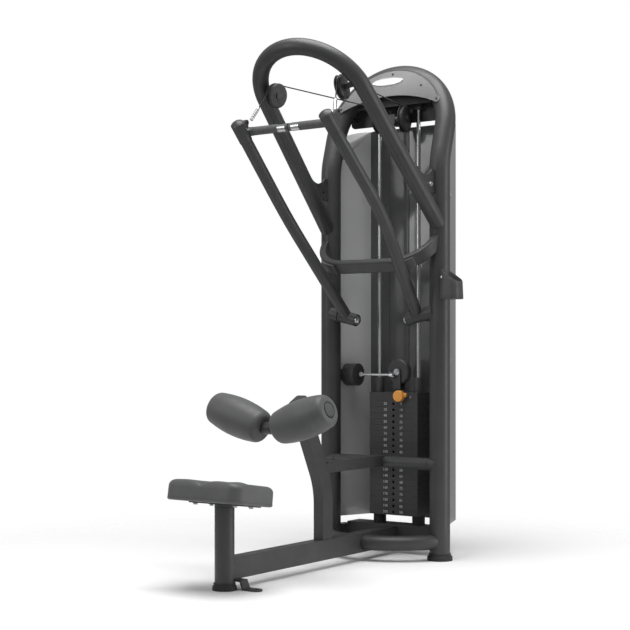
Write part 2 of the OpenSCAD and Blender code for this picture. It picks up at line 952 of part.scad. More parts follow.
module cross_plate() {
    half = 250;
    bottom = 1817;
    top = 1905;
    color(dark_grey) at_tower() {
        difference() {
            translate([0, cross_y + cross_t, (bottom + top) / 2]) rotate([90, 0, 0])
                linear_extrude(cross_t) rounded([2 * half, top - bottom], 18);
        }
        for (side = [-1, 1]) {
            difference() {
                rod([side * 227, 70, 1849], [side * 227, cross_y, 1849], 12);
                arch_outline();
            }
            difference() {
                translate([side * guide_x - 18, cross_y - 28, guide_top - 14]) cube([36, 28, 22]);
                translate([side * guide_x, stack_y, guide_top - 20])
                    cylinder(h = 40, d = guide_d + 2 * running_gap);
            }
        }
    }
}

// Places the header's plane, out from the arch's middle plane: X across, Y up the slope
module header_plane(out) {
    at_tower() multmatrix(basis([1, 0, 0], [0, sin(lean), cos(lean)], [0, -cos(lean), sin(lean)],
        [0, 0, kink_z])) translate([0, 0, out]) children();
}

module header_panel() {
    outer_r = 270;
    lower_r = 560;
    lower_top = 292;
    color(panel_grey) header_plane(header_front) linear_extrude(header_t) {
        difference() {
            intersection() {
                translate([0, arch_s]) circle(outer_r, $fn = SWEEP);
                translate([-236, 200]) square([472, 300]);
            }
            translate([0, lower_top - lower_r]) circle(lower_r, $fn = 2 * SWEEP);
        }
        for (side = [-1, 1]) translate([side * 235, 254.8]) circle(14.6);
    }
}

module header_badge() {
    color("white") header_plane(header_front + header_t) translate([-20, 360]) linear_extrude(1.5)
        polygon([for (a = [0 : 6 : 354]) [75 * cos(a), 17.5 * sin(a)]]);
}

// Half the shroud's width at y, and its plan to the outer face or, with t, to the inner face
function shroud_x(y) = shroud_half + (shroud_back - y) * tan(shroud_fold);
module shroud_plan(front, t = 0) {
    inset = t / cos(shroud_fold);
    polygon([
        [-shroud_x(front) + inset, front], [-shroud_x(shroud_back - t) + inset, shroud_back - t],
        [shroud_x(shroud_back - t) - inset, shroud_back - t], [shroud_x(front) - inset, front]]);
}

module rear_shroud() {
    corner = 90;
    color(dark_grey) at_tower() difference() {
        intersection() {
            translate([0, 0, shroud_bottom]) linear_extrude(shroud_top - shroud_bottom) difference() {
                shroud_plan(shroud_front);
                shroud_plan(shroud_front - 50, shroud_t);
            }
            translate([0, 400, 0]) rotate([90, 0, 0]) linear_extrude(400) union() {
                translate([-300, shroud_bottom]) square([600, shroud_top - corner - shroud_bottom]);
                translate([-280 + corner, shroud_bottom])
                    square([560 - 2 * corner, shroud_top - shroud_bottom]);
                for (side = [-1, 1]) translate([side * (280 - corner), shroud_top - corner]) circle(corner);
            }
        }
        for (side = [-1, 1]) upright_outline(side, 2);
        arch_outline(2);
    }
}

module frame_bolts() {
    out = [cos(shroud_fold), sin(shroud_fold), 0];
    color(chrome) {
        at_tower() for (side = [-1, 1]) {
            for (z = shroud_bolts_z)
                bolt_head([side * shroud_x(shroud_bolt_y), shroud_bolt_y, z], mirrored(out, side), 9, 6);
            bolt_head([side * 227, cross_y + cross_t, 1849], [0, 1, 0], 8, 6);
            bolt_head([side > 0 ? 266 : -266, -70, 1524], [side, 0, 0], 8, 6);
        }
        seat_plane() for (x = [-90, 90], y = [-25, 67]) bolt_head([x, y, -seat_plate_t], [0, 0, -1], 8, 6);
    }
}

module bottle_holder() {
    fall = 34;
    tab = [21, 14, 60];
    color(dark_grey) at_tower() {
        difference() {
            translate([cup.x - cup_w / 2 - tab.x + 1, cup.y + 26, cup_bottom + 20]) cube(tab);
            upright_leg(1);
        }
        cup_shell(fall);
    }
}

// Square cup whose rim falls away from the upright
module cup_shell(fall) {
    difference() {
        translate([cup.x, cup.y, cup_bottom]) linear_extrude(cup_top - cup_bottom)
            rounded([cup_w, cup_w], 18);
        translate([cup.x, cup.y, cup_bottom + cup_wall]) linear_extrude(cup_top - cup_bottom)
            rounded([cup_w - 2 * cup_wall, cup_w - 2 * cup_wall], 15);
        translate([cup.x - cup_w / 2 + 6, cup.y - 100, cup_top]) rotate([0, fall, 0])
            cube([200, 200, 200]);
    }
}

module addon_spindle() {
    left = addon_x - 2 * addon_pitch - addon_t - 1.2;
    color(frame_grey) at_tower() {
        rod([left, addon_y, addon_z], [addon_x + 9, addon_y, addon_z], addon_rod_r);
        difference() {
            translate([left - 7, 20, addon_z - 24]) cube([7, 84, 48]);
            upright_leg(-1);
        }
    }
}

module addon_weights() {
    color(dark_grey) at_tower() for (i = [0 : 2])
        rod([addon_x - i * addon_pitch - addon_t, addon_y, addon_z],
            [addon_x - i * addon_pitch, addon_y, addon_z],
            addon_r, addon_rod_r + running_gap);
}

module selector_pin() {
    front = stack_y - 46;
    color(orange) at_tower() translate([pin_x, front - part_gap, pin_z]) rotate([90, 0, 0]) {
        rotate_extrude() {
            square([10, 8]);
            translate([0, 6]) square([20, 24]);
            translate([0, 10]) square([24, 16]);
            for (y = [10, 26]) translate([20, y]) circle(4);
        }
        translate([0, 0, -34]) cylinder(h = 36, r = pin_r);
    }
}

base_beam();
base_bow();
stack_base();
uprights();
top_arch();
loop_legs();
loop_bow();
gusset_plates();
stop_bar();
stop_pads();
stack_crossbar();
post_brace();
thigh_post();
roller_axle();
seat_post();
seat_plate();
seat_pad();
rubber_feet();
anchor_tab();
guide_rods();
stack_bumpers();
weight_plates();
cross_plate();
header_panel();
header_badge();
rear_shroud();
frame_bolts();
bottle_holder();
addon_spindle();
loop_pulley_arms();
tower_pulley_bracket();
pivot_shafts();
top_cables();
lift_cables();
lift_loop();
left_arm_cable();
right_arm_cable();
head_plate();
guide_sleeves();
lift_bracket();
lift_axle();
pickup_rod();
lift_pulley();
selector_pin();
addon_weights();
left_arm();
left_arm_sleeve();
left_handle();
left_grip();
right_arm();
right_arm_sleeve();
right_handle();
right_grip();
left_loop_pulley();
right_loop_pulley();
left_tower_pulley();
right_tower_pulley();
left_roller();
right_roller();
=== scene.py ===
"""Looks of the lat pulldown machine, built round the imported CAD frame.

Blender's own values are in metres, +Z up, with the seat post at the origin.
"""
import json
import math

import bmesh
import bpy
from mathutils import Matrix, Vector, noise


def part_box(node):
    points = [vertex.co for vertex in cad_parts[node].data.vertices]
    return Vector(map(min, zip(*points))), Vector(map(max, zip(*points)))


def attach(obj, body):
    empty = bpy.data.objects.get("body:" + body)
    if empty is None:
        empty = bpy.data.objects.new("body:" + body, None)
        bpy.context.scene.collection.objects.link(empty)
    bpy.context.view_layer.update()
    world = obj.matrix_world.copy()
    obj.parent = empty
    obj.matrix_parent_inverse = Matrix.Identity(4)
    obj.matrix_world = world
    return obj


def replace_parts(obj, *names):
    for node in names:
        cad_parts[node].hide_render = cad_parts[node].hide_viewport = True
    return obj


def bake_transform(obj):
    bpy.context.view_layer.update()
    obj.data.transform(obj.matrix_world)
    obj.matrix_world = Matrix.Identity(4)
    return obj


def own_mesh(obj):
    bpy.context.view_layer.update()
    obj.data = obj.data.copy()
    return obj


MM = 0.001

# Places and sizes that the frame's nodes don't give directly, in millimetres and radians
TOWER_Y = 1062
SEAT_MIDDLE = (0, -28, 309.5)
SEAT_SIZE = (336, 242, 75)
SEAT_CORNER = 50
SEAT_TILT = math.radians(-8)
AXLE = (0, 272, 551)
ROLLER_RISE = math.radians(18)
ROLLER_START = 34
ROLLER_END = 280
ROLLER_R = 74
ARM_TIP = (205, 332, 1720)
ARM_KNEE = (225, 682, 1390)
HEADER_LEAN = math.radians(16.7)
HEADER_KINK_Z = 1630
HEADER_FACE = 45
HEAD_PLATE_Z = 658
STACK_BOTTOM = 158.4
PLATE_PITCH = 25.4
PLATE_COUNT = 19
PLATE_FRONT = 1136
PRINT_PROUD = 0.4
POUNDS_TO_KILOS = 0.45
CABLE_R = 2.5
UPRIGHT_X = 268
STOP_BAR = (0, TOWER_Y - 130, 1199)
STOP_BAR_TILT = math.radians(43.2)
STOP_BEND_X = 118
BOTTLE_Y = 1002

# Least radius of a turned ring, so that an end closes without a hole, in millimetres
TINY_R = 0.01
# The middle of a noise's range, where nearly all of its values lie
NOISE_SPAN = (0.3, 0.7)
# Sockets that hold the Mix node's two colours and its result
MIX_COLOURS = (6, 7)
MIX_RESULT = 2

# Middle of the pale floor, and how far from it the floor starts and ends fading, in metres
FLOOR_MIDDLE = (0, 0.6, 0)
FLOOR_FADE = (0.9, 2.1)

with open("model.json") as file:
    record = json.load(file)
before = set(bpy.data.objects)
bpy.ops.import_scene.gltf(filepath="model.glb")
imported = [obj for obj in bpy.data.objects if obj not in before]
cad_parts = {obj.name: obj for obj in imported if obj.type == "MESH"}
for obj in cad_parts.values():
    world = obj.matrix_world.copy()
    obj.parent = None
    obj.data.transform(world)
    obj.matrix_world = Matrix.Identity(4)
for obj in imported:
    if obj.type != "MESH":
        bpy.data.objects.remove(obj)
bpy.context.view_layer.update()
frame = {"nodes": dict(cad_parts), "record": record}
nodes = frame["nodes"]


def metres(x, y, z):
    """A point given in millimetres, as a vector in metres."""
    return Vector((x, y, z)) * MM


# ---------------------------------------------------------------- materials


class Surface:
    """A principled material with object coordinates, and short calls that add its detail."""

    def __init__(self, name, roughness, metallic=0.0, coat=0.0, specular=0.5):
        self.material = bpy.data.materials.new(name)
        self.material.use_nodes = True
        self.tree = self.material.node_tree
        self.shader = self.tree.nodes["Principled BSDF"]
        self.shader.inputs["Roughness"].default_value = roughness
        self.shader.inputs["Metallic"].default_value = metallic
        self.shader.inputs["Coat Weight"].default_value = coat
        self.shader.inputs["Specular IOR Level"].default_value = specular
        self.place = self.add("ShaderNodeTexCoord").outputs["Object"]
        self.normal = None

    def add(self, kind, **settings):
        node = self.tree.nodes.new(kind)
        for name, value in settings.items():
            setattr(node, name, value)
        return node

    def link(self, source, target):
        self.tree.links.new(source, target)

    def noise(self, scale, detail=2.0, stretch=None):
        """Noise at so many waves a metre."""
        texture = self.add("ShaderNodeTexNoise")
        texture.inputs["Scale"].default_value = scale
        texture.inputs["Detail"].default_value = detail
        place = self.place
        if stretch:
            mapping = self.add("ShaderNodeMapping")
            mapping.inputs["Scale"].default_value = stretch
            self.link(place, mapping.inputs["Vector"])
            place = mapping.outputs["Vector"]
        self.link(place, texture.inputs["Vector"])
        return texture.outputs["Fac"]

    def cells(self, scale):
        """Distance to the edge of cells, so many a metre."""
        texture = self.add("ShaderNodeTexVoronoi", feature="DISTANCE_TO_EDGE")
        texture.inputs["Scale"].default_value = scale
        self.link(self.place, texture.inputs["Vector"])
        return texture.outputs["Distance"]

    def ramp(self, factor, low, high):
        """A colour that runs from low to high over the middle of factor's range."""
        ramp = self.add("ShaderNodeValToRGB")
        for element, position, colour in zip(ramp.color_ramp.elements, NOISE_SPAN, (low, high)):
            element.position = position
            element.color = (*colour, 1)
        self.link(factor, ramp.inputs["Fac"])
        return ramp.outputs["Color"]

    def mix(self, factor, first, second):
        """The first colour where factor is 0, and the second where it is 1."""
        mix = self.add("ShaderNodeMix", data_type="RGBA")
        self.link(factor, mix.inputs["Factor"])
        for index, value in zip(MIX_COLOURS, (first, second)):
            socket = mix.inputs[index]
            if isinstance(value, tuple):
                socket.default_value = (*value, 1)
            else:
                self.link(value, socket)
        return mix.outputs[MIX_RESULT]

    def math(self, operation, first, second=0.0):
        node = self.add("ShaderNodeMath", operation=operation)
        for socket, value in zip(node.inputs, (first, second)):
            if isinstance(value, (int, float)):
                socket.default_value = value
            else:
                self.link(value, socket)
        return node.outputs[0]

    def colour(self, source):
        self.link(source, self.shader.inputs["Base Color"])

    def roughness(self, factor, low, high):
        """Roughness from low to high over the middle of factor's range."""
        spread = self.add("ShaderNodeMapRange")
        spread.inputs["From Min"].default_value = NOISE_SPAN[0]
        spread.inputs["From Max"].default_value = NOISE_SPAN[1]
        spread.inputs["To Min"].default_value = low
        spread.inputs["To Max"].default_value = high
        self.link(factor, spread.inputs["Value"])
        self.link(spread.outputs["Result"], self.shader.inputs["Roughness"])

    def rounded_edges(self, radius):
        """Softens sharp edges by radius, and gives a mask that is 1 on them."""
        bevel = self.add("ShaderNodeBevel", samples=4)
        bevel.inputs["Radius"].default_value = radius
        self.normal = bevel.outputs["Normal"]
        flat = self.add("ShaderNodeNewGeometry").outputs["Normal"]
        dot = self.add("ShaderNodeVectorMath", operation="DOT_PRODUCT")
        self.link(self.normal, dot.inputs[0])
        self.link(flat, dot.inputs[1])
        self.link(self.normal, self.shader.inputs["Normal"])
        return self.math("SUBTRACT", 1.0, dot.outputs["Value"])

    def bump(self, height, distance, strength):
        """Relief on top of what the normal already has."""
        bump = self.add("ShaderNodeBump")
        bump.inputs["Distance"].default_value = distance
        bump.inputs["Strength"].default_value = strength
        self.link(height, bump.inputs["Height"])
        if self.normal:
            self.link(self.normal, bump.inputs["Normal"])
        self.normal = bump.outputs["Normal"]
        self.link(self.normal, self.shader.inputs["Normal"])


def grey(level):
    """A grey a touch cooler than neutral."""
    return (level, level * 1.005, level * 1.025)


def powder_coat():
    """Satin charcoal coat: orange peel, a little tone variation, and edges painted paler, partly as rubbed
    wear and partly as a painted highlight.
    """
    s = Surface("frame_paint", 0.42, specular=0.42)
    edge = s.rounded_edges(0.0022)
    tone = s.ramp(s.noise(9, 3), grey(0.038), grey(0.047))
    # Edges painted paler: partly rubbed wear, partly a painted highlight.
    wear_and_highlight = s.math("MULTIPLY", edge, s.math("MULTIPLY", s.noise(25, 2), 1.3))
    s.colour(s.mix(wear_and_highlight, tone, grey(0.13)))
    s.roughness(s.noise(22, 3), 0.36, 0.47)
    s.bump(s.noise(700, 2), 0.00016, 0.55)
    return s.material


def plate_iron():
    """Black textured paint, with a darker middle band where the numbers are."""
    band_half = 0.0635
    s = Surface("plate_iron", 0.5, specular=0.35)
    edge = s.rounded_edges(0.0012)
    split = s.add("ShaderNodeSeparateXYZ")
    s.link(s.place, split.inputs["Vector"])
    off_middle = s.math("ABSOLUTE", split.outputs["X"])
    side = s.math("GREATER_THAN", off_middle, band_half)
    tone = s.mix(side, grey(0.030), grey(0.040))
    patchy = s.mix(s.noise(14, 3), tone, grey(0.046))
    # Edges painted paler: partly worn edges, partly a painted highlight.
    s.colour(s.mix(s.math("MULTIPLY", edge, 1.6), patchy, grey(0.12)))
    s.roughness(s.noise(40, 3), 0.42, 0.6)
    s.bump(s.noise(900, 3), 0.0002, 0.6)
    return s.material


def rubber(name, level, roughness=0.7):
    """Matte moulded rubber of a grey level."""
    s = Surface(name, roughness, specular=0.3)
    s.rounded_edges(0.0015)
    s.colour(s.ramp(s.noise(30, 3), grey(level * 0.85), grey(level * 1.15)))
    s.roughness(s.noise(80, 2), roughness - 0.08, roughness + 0.08)
    s.bump(s.noise(1300, 2), 0.00012, 0.5)
    return s.material


def vinyl():
    """Grey upholstery vinyl with a fine pebbled grain."""
    s = Surface("upholstery", 0.5, specular=0.45)
    s.colour(s.ramp(s.noise(7, 4), (0.078, 0.079, 0.081), (0.098, 0.099, 0.101)))
    s.roughness(s.noise(35, 3), 0.44, 0.56)
    s.bump(s.cells(520), 0.00025, 0.35)
    s.bump(s.noise(1500, 2), 0.0001, 0.3)
    s.shader.inputs["Sheen Weight"].default_value = 0.08
    return s.material


def metal(name, level, low, high):
    """Bare or plated metal whose roughness runs from low to high."""
    s = Surface(name, low, metallic=1.0)
    s.colour(s.ramp(s.noise(25, 3), grey(level * 0.94), grey(level)))
    s.roughness(s.noise(45, 3), low, high)
    s.bump(s.noise(600, 2), 0.00005, 0.25)
    return s.material


def plastic(name, colour, roughness, coat=0.0):
    """Moulded plastic with a fine grain."""
    s = Surface(name, roughness, coat=coat)
    s.rounded_edges(0.001)
    darker = tuple(c * 0.88 for c in colour)
    s.colour(s.ramp(s.noise(18, 3), darker, colour))
    s.roughness(s.noise(60, 2), roughness - 0.05, roughness + 0.07)
    s.bump(s.noise(1100, 2), 0.00008, 0.4)
    return s.material


def header_print():
    """Silver grey panel with a print of fine dots that thins out towards the top."""
    s = Surface("header_silver", 0.34, metallic=0.35, coat=0.3)
    split = s.add("ShaderNodeSeparateXYZ")
    s.link(s.place, split.inputs["Vector"])
    dot_rows = 125
    waves = 2 * math.pi * dot_rows
    across = s.math("SINE", s.math("MULTIPLY", split.outputs["X"], waves))
    up = s.math("SINE", s.math("MULTIPLY", split.outputs["Z"], waves / math.cos(HEADER_LEAN)))
    wave = s.math("MULTIPLY", across, up)
    low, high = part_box("header_panel")
    fade = s.add("ShaderNodeMapRange")
    fade.inputs["From Min"].default_value = low.z + 0.02
    fade.inputs["From Max"].default_value = high.z - 0.03
    fade.inputs["To Min"].default_value = 0.0
    fade.inputs["To Max"].default_value = 0.95
    s.link(split.outputs["Z"], fade.inputs["Value"])
    dot = s.math("GREATER_THAN", wave, fade.outputs["Result"])
    tone = s.ramp(s.noise(6, 3), (0.25, 0.25, 0.254), (0.3, 0.3, 0.304))
    s.colour(s.mix(dot, tone, (0.12, 0.12, 0.123)))
    s.roughness(s.noise(50, 2), 0.3, 0.4)
    s.bump(s.noise(900, 2), 0.00004, 0.3)
    return s.material


def shroud_sheet():
    """Smoked gloss sheet with a faint ripple; the inner faces of its folded sides are painted pale as a
    painted reflection of the white surroundings and the light seen through the sheet.
    """
    s = Surface("shroud_gloss", 0.16, coat=0.4)
    s.rounded_edges(0.001)
    split = s.add("ShaderNodeSeparateXYZ")
    s.link(s.place, split.inputs["Vector"])
    facing = s.add("ShaderNodeSeparateXYZ")
    s.link(s.add("ShaderNodeTexCoord").outputs["Normal"], facing.inputs["Vector"])
    inner_face_painted_pale = s.math("LESS_THAN", s.math("MULTIPLY", split.outputs["X"], facing.outputs["X"]), -0.1)
    back = s.ramp(s.noise(3, 3), (0.07, 0.071, 0.073), (0.09, 0.091, 0.093))
    # Painted light: the pale grey of the inner faces stands in for the white surroundings reflected in and
    # seen through the sheet.
    sides = s.ramp(s.noise(3, 3), (0.44, 0.442, 0.445), (0.5, 0.502, 0.505))
    s.colour(s.mix(inner_face_painted_pale, back, sides))
    s.roughness(s.noise(12, 3), 0.1, 0.2)
    s.bump(s.noise(5, 2), 0.0006, 0.3)
    s.bump(s.noise(1200, 2), 0.00003, 0.2)
    return s.material


def grip_rubber():
    """Dark rubber with fine ribs round the bar."""
    ribs_per_metre = 420
    s = Surface("grip_rubber", 0.68, specular=0.3)
    s.colour(s.ramp(s.noise(40, 3), grey(0.09), grey(0.12)))
    split = s.add("ShaderNodeSeparateXYZ")
    s.link(s.place, split.inputs["Vector"])
    ribs = s.math("SINE", s.math("MULTIPLY", split.outputs["X"], 2 * math.pi * ribs_per_metre))
    s.roughness(s.noise(90, 2), 0.6, 0.76)
    s.bump(ribs, 0.0003, 0.5)
    s.bump(s.noise(1500, 2), 0.0001, 0.4)
    return s.material


def cable_sheath():
    """Black sheath with the strands showing faintly through it."""
    s = Surface("cable_black", 0.4)
    s.colour(s.ramp(s.noise(60, 2), grey(0.024), grey(0.036)))
    twist = s.noise(500, 1, (1, 1, 2.5))
    s.roughness(twist, 0.34, 0.48)
    s.bump(twist, 0.0002, 0.5)
    return s.material


MATERIALS = {
    "frame_paint": powder_coat(),
    "stop_rubber": rubber("stop_rubber", 0.085, 0.6),
    "foot_rubber": rubber("foot_rubber", 0.03),
    "grip_rubber": grip_rubber(),
    "upholstery": vinyl(),
    "chrome": metal("chrome", 0.6, 0.16, 0.26),
    "bolt_steel": metal("bolt_steel", 0.62, 0.25, 0.4),
    "plate_iron": plate_iron(),
    "sleeve_plastic": plastic("sleeve_plastic", grey(0.05), 0.5),
    "pulley_plastic": plastic("pulley_plastic", grey(0.03), 0.45),
    "header_silver": header_print(),
    "badge_white": plastic("badge_white", (0.84, 0.84, 0.84), 0.22, coat=0.5),
    "shroud_gloss": shroud_sheet(),
    "knob_orange": plastic("knob_orange", (0.78, 0.33, 0.055), 0.34, coat=0.15),
    "cable_black": cable_sheath(),
    "number_print": plastic("number_print", (0.62, 0.62, 0.62), 0.5),
}


def dress_cad_nodes():
    """Every CAD node takes the finish of its slot, with smooth shading on its curved faces."""
    for part in frame["record"]["subparts"]:
        mesh = nodes[part["node"]].data
        mesh.materials.clear()
        mesh.materials.append(MATERIALS[part["material_slot"]])
        mesh.set_sharp_from_angle(angle=math.radians(32))


# ---------------------------------------------------------------- mesh helpers


def finish_piece(obj, slot, body=None, smooth_angle=40):
    """Gives a new piece the material of its slot, smooth shading and, where one is given, its body."""
    obj.data.materials.clear()
    obj.data.materials.append(MATERIALS[slot])
    for face in obj.data.polygons:
        face.use_smooth = True
    obj.data.set_sharp_from_angle(angle=math.radians(smooth_angle))
    if body:
        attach(obj, body)
    return obj


def mesh_object(name, points, faces):
    """A new object from points in metres and faces of their indices."""
    mesh = bpy.data.meshes.new(name)
    mesh.from_pydata([tuple(p) for p in points], [], faces)
    mesh.update()
    obj = bpy.data.objects.new(name, mesh)
    bpy.context.scene.collection.objects.link(obj)
    return obj


def lofted(name, rings, closed_rings=False):
    """A skin over rings of points, with a flat cap at each end or, when closed, joined end to end."""
    count = len(rings[0])
    points = [p for ring in rings for p in ring]
    faces = []
    spans = len(rings) if closed_rings else len(rings) - 1
    for i in range(spans):
        first = i * count
        second = (i + 1) % len(rings) * count
        for k in range(count):
            after = (k + 1) % count
            faces.append((first + k, first + after, second + after, second + k))
    if not closed_rings:
        faces.append(tuple(range(count - 1, -1, -1)))
        faces.append(tuple(range(len(points) - count, len(points))))
    obj = mesh_object(name, points, faces)
    fix_normals(obj)
    return obj


def fix_normals(obj):
    """Turns every face outwards."""
    work = bmesh.new()
    work.from_mesh(obj.data)
    bmesh.ops.recalc_face_normals(work, faces=work.faces)
    work.to_mesh(obj.data)
    work.free()


def axes(direction):
    """Two directions square to a direction, and to each other."""
    w = direction.normalized()
    helper = Vector((0, 0, 1)) if abs(w.z) < 0.9 else Vector((1, 0, 0))
    u = helper.cross(w).normalized()
    return u, w.cross(u), w


def lathe(name, profile, origin, direction, sides):
    """Turns (radius, height) pairs, in millimetres, round direction from origin."""
    u, v, w = axes(direction)
    rings = []
    for radius, height in profile:
        centre = origin + w * height * MM
        rings.append([
            centre + (u * math.cos(a) + v * math.sin(a)) * max(radius, TINY_R) * MM
            for a in (2 * math.pi * k / sides for k in range(sides))])
    return lofted(name, rings)


def tube(name, points, radius, sides=12):
    """A round tube along points, in metres."""
    rings = []
    u, v, _ = axes(points[1] - points[0])
    for i, point in enumerate(points):
        ahead = points[min(i + 1, len(points) - 1)] - points[max(i - 1, 0)]
        w = ahead.normalized()
        u = (u - w * u.dot(w)).normalized()
        v = w.cross(u)
        rings.append([
            point + (u * math.cos(a) + v * math.sin(a)) * radius
            for a in (2 * math.pi * k / sides for k in range(sides))])
    return lofted(name, rings)


def torus(name, centre, direction, radius, thick, slot, body="root"):
    """A bead or ring round direction, with its radius and thickness in millimetres."""
    sides, around = 56, 10
    u, v, w = axes(direction)
    rings = []
    for i in range(sides):
        a = 2 * math.pi * i / sides
        out = u * math.cos(a) + v * math.sin(a)
        rings.append([
            centre + out * (radius + thick * math.cos(b)) * MM + w * thick * math.sin(b) * MM
            for b in (2 * math.pi * k / around for k in range(around))])
    return finish_piece(lofted(name, rings, closed_rings=True), slot, body)


def arc_profile(radius, height, corner, steps=6):
    """Quarter round from the side of radius at height - corner to its flat top at height."""
    return [
        (radius - corner + corner * math.cos(a), height - corner + corner * math.sin(a))
        for a in (math.pi / 2 * k / steps for k in range(steps + 1))]


def joined(name, objects):
    """One object from several."""
    work = bmesh.new()
    for obj in objects:
        start = len(work.verts)
        work.from_mesh(obj.data)
        work.verts.ensure_lookup_table()
        bmesh.ops.transform(work, matrix=obj.matrix_world, verts=work.verts[start:])
    for obj in objects:
        bpy.data.objects.remove(obj)
    mesh = bpy.data.meshes.new(name)
    work.to_mesh(mesh)
    work.free()
    result = bpy.data.objects.new(name, mesh)
    bpy.context.scene.collection.objects.link(result)
    return result


# ---------------------------------------------------------------- upholstery


def rounded_rectangle(half_x, half_y, corner, per_corner=12, per_side=48):
    """Points round a rounded rectangle, the same number at every size."""
    points = []
    for quarter in range(4):
        turn = quarter * math.pi / 2
        side_x, side_y = ((half_x, half_y), (half_y, half_x))[quarter % 2]
        cx, cy = side_x - corner, side_y - corner
        local = [
            (cx + corner * math.cos(a), cy + corner * math.sin(a))
            for a in (math.pi / 2 * k / per_corner for k in range(per_corner + 1))]
        local += [(cx - 2 * cx * k / per_side, side_y) for k in range(1, per_side)]
        cos, sin = round(math.cos(turn)), round(math.sin(turn))
        points += [(x * cos - y * sin, x * sin + y * cos) for x, y in local]
    return points


def saddle(x, y):
    """Height of the seat's top over a flat one: creased at the rear, humped between the thighs in front."""
    half_x, half_y = SEAT_SIZE[0] / 2, SEAT_SIZE[1] / 2
    front = (half_y + y) / (2 * half_y)
    crease = -17 * math.exp(-abs(x) / 19) * (1 - front) ** 1.4
    lobes = 3 * math.exp(-((abs(x) - 75) / 50) ** 2) * (1 - front)
    hump = 9 * math.exp(-(x / 46) ** 2) * front ** 1.5
    thighs = -8 * math.exp(-((abs(x) - 88) / 42) ** 2) * front ** 0.8
    return crease + lobes + hump + thighs - 4 * abs(x / half_x) ** 6


def seat_pad():
    """A padded seat of stacked rounded outlines, each an inset and a height, with a welt round its foot."""
    half_x, half_y, thick = SEAT_SIZE[0] / 2, SEAT_SIZE[1] / 2, SEAT_SIZE[2]
    edge = 24
    waist = 0.0072
    welt_height = 7.2
    rows = [(16, 0.0), (6, 0.0), (1.6, 1.8), (0, 6), (0.2, thick * 0.35), (0.6, thick - edge)]
    rows += [
        (0.6 + edge * (1 - math.cos(a)), thick - edge + edge * math.sin(a))
        for a in (math.pi / 2 * k / 7 for k in range(1, 8))]
    rows += [(edge + step, thick) for step in (5, 11, 18, 26, 35, 45, 56, 68, 80, 90)]
    rings = []
    for inset, height in rows:
        corner = max(SEAT_CORNER - inset * 0.75, 9)
        corner = min(corner, half_y - inset - 0.5)
        ring = []
        for x, y in rounded_rectangle(half_x - inset, half_y - inset, corner):
            share = max(0.0, (height - thick + edge) / edge)
            belly = math.sin(math.pi * min(height, thick) / thick)
            x *= 1 - waist * belly * math.cos(math.pi * y / (2 * half_y))
            ring.append((x, y, height + saddle(x, y) * share))
        rings.append(ring)
    tilt = Matrix.Rotation(SEAT_TILT, 4, "X")
    place = Matrix.Translation(metres(*SEAT_MIDDLE)) @ tilt
    pad = lofted("seat_cushion", [[place @ metres(*p) for p in ring] for ring in rings])
    smooth = pad.modifiers.new("smooth", "SUBSURF")
    smooth.levels = smooth.render_levels = 1
    finish_piece(pad, "upholstery", "root", smooth_angle=80)
    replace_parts(pad, "seat_pad")
    outline = rounded_rectangle(half_x + 0.1, half_y + 0.1, SEAT_CORNER)
    welt_ring = [place @ metres(x, y, welt_height) for x, y in outline]
    welt = tube("seat_welt", welt_ring + welt_ring[:2], 0.0014, sides=8)
    finish_piece(welt, "upholstery", "root")


def barrel_profile(length, radius, end_r, corner):
    """A bulging side between two round shoulders that leave it smoothly, as (radius, height) pairs."""
    half = length / 2 - corner * 0.7
    bulge = (half ** 2 + (radius - end_r) ** 2) / (2 * (radius - end_r))
    slope = math.asin(half / bulge)
    half = length / 2 - corner * (1 - math.sin(slope))
    slope = math.asin(half / bulge)
    edge_r = radius - bulge + bulge * math.cos(slope)
    shoulder = [
        (edge_r - corner * math.cos(slope) + corner * math.cos(a), half - corner * math.sin(slope)
         + corner * math.sin(a))
        for a in (slope + (math.pi / 2 - slope) * k / 8 for k in range(9))]
    side = [
        (radius - bulge + bulge * math.cos(a), bulge * math.sin(a))
        for a in (slope * k / 60 for k in range(-59, 60))]
    upper = [(r, length / 2 + h) for r, h in shoulder]
    lower = [(r, length / 2 - h) for r, h in reversed(shoulder)]
    return lower + [(r, length / 2 + h) for r, h in side] + upper


def roller(side, name, node, body):
    """A foam barrel in one moulded skin, with a shallow groove near its outer end and an end cap."""
    length = ROLLER_END - ROLLER_START
    groove_at, groove_depth, groove_width = length - 38, 0.9, 1.3
    cap_r, cap_foot = 27.5, length - 6
    bore_r, ripple, waves_per_metre = 0.034, 0.0009, 14
    profile = [(15, 1)] + barrel_profile(length, ROLLER_R, ROLLER_R - 12, 24)
    profile = [
        (r - groove_depth * math.exp(-((h - groove_at) / groove_width) ** 2), h)
        for r, h in profile]
    profile += [(33, length), (31.5, length - 1.5), (31, length - 6), (20, length - 6.5), (15, length - 7)]
    direction = Vector((side * math.cos(ROLLER_RISE), 0, math.sin(ROLLER_RISE)))
    start = metres(*AXLE) + direction * ROLLER_START * MM
    pad = lathe(name, profile, start, direction, sides=72)
    for vertex in pad.data.vertices:
        along = (vertex.co - start).dot(direction)
        out = vertex.co - start - direction * along
        if out.length > bore_r:
            wave = noise.noise(vertex.co * waves_per_metre + Vector((side * 5, 0, 0)))
            vertex.co += out.normalized() * wave * ripple
    finish_piece(pad, "upholstery", body, smooth_angle=60)
    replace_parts(pad, node)
    cap = lathe(
        name + "_cap",
        [(TINY_R, cap_foot), (cap_r - 0.5, cap_foot)] + arc_profile(cap_r, length + 1.5, 4)
        + [(14, length + 2.2), (TINY_R, length + 2.6)],
        start, direction, sides=48)
    finish_piece(cap, "stop_rubber", body)


# ---------------------------------------------------------------- cables


